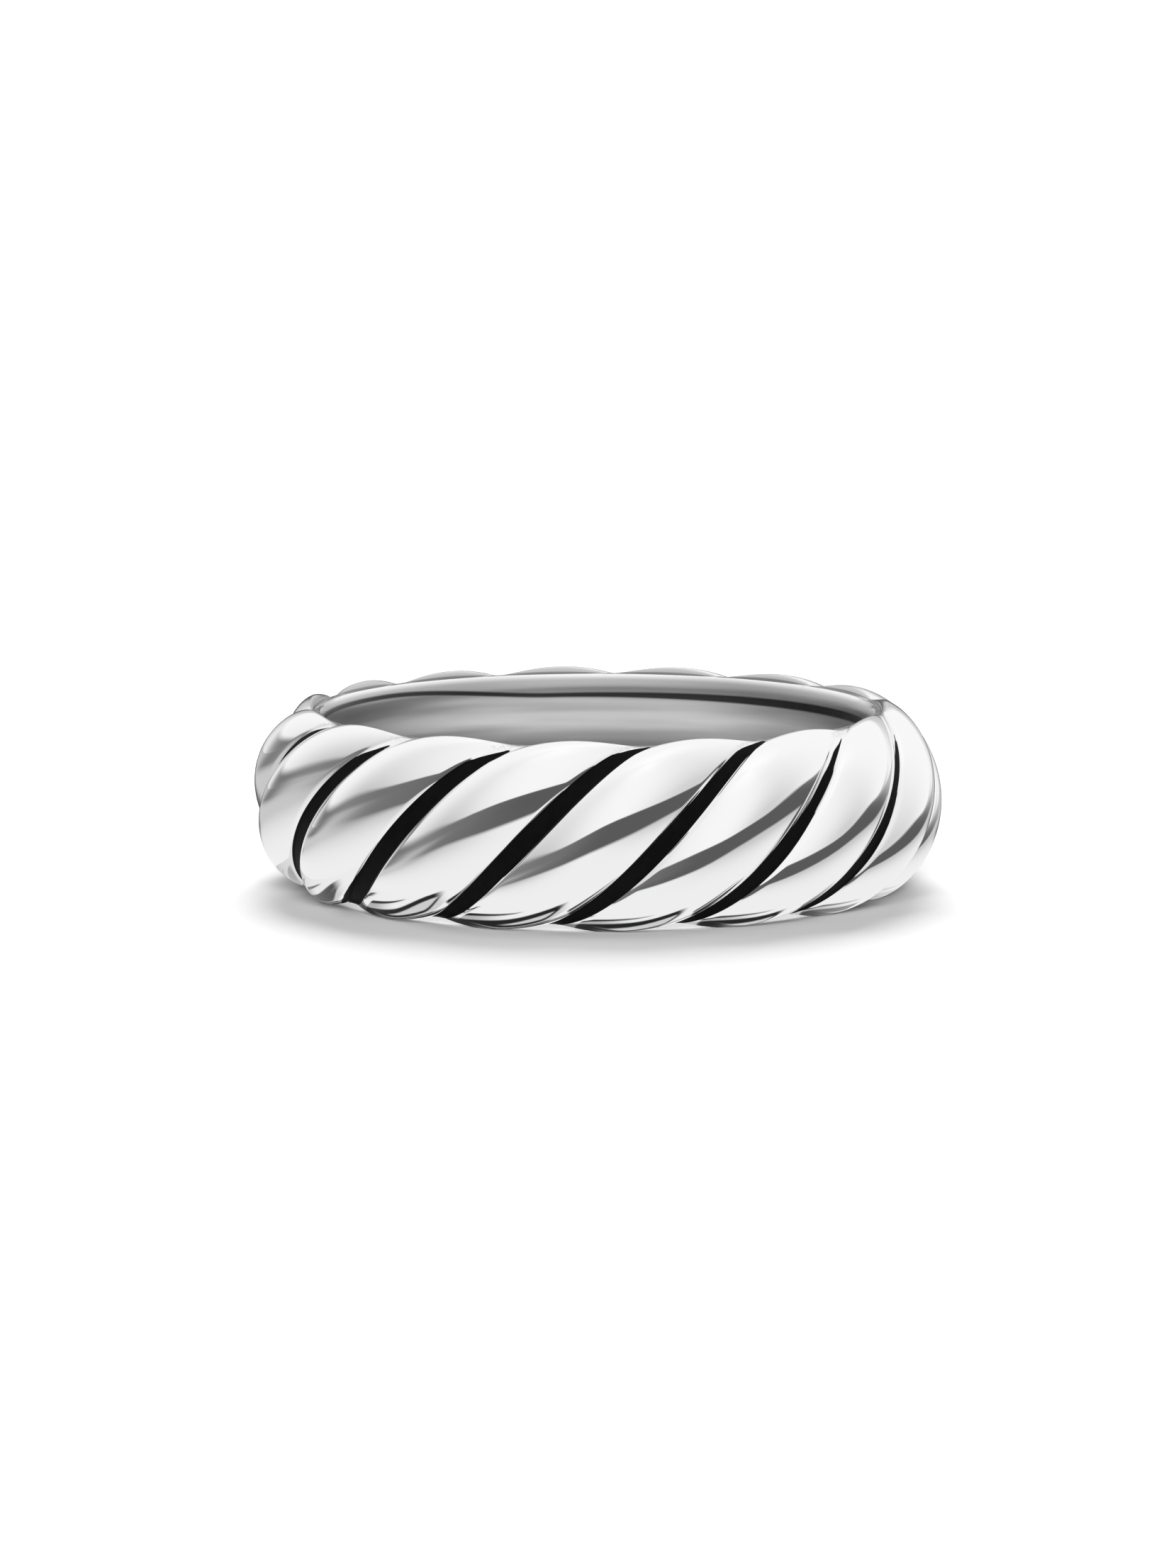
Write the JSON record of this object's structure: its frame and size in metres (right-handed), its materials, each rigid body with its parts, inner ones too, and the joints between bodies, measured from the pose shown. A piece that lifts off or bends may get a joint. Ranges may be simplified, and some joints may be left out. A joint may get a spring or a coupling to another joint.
{
  "type": "rope twist ring",
  "caption": "Finger ring in one piece: thick slanted lobes with flat dark grooves between them twist round a band that is smooth and rounded inside.",
  "frame": {"origin": "middle of the finger hole, on the plane that the ring lies on", "axes": "+Z along the finger hole, upwards as the ring lies on its side; -Y faces the camera of the picture, and +X is to its right"},
  "size_m": [0.0219, 0.0219, 0.0059],
  "materials": {
    "silver": "mirror-polished silver, with the floors of the grooves oxidised black"
  },
  "bodies": {
    "root": {"band": "silver"}
  },
  "joints": []
}
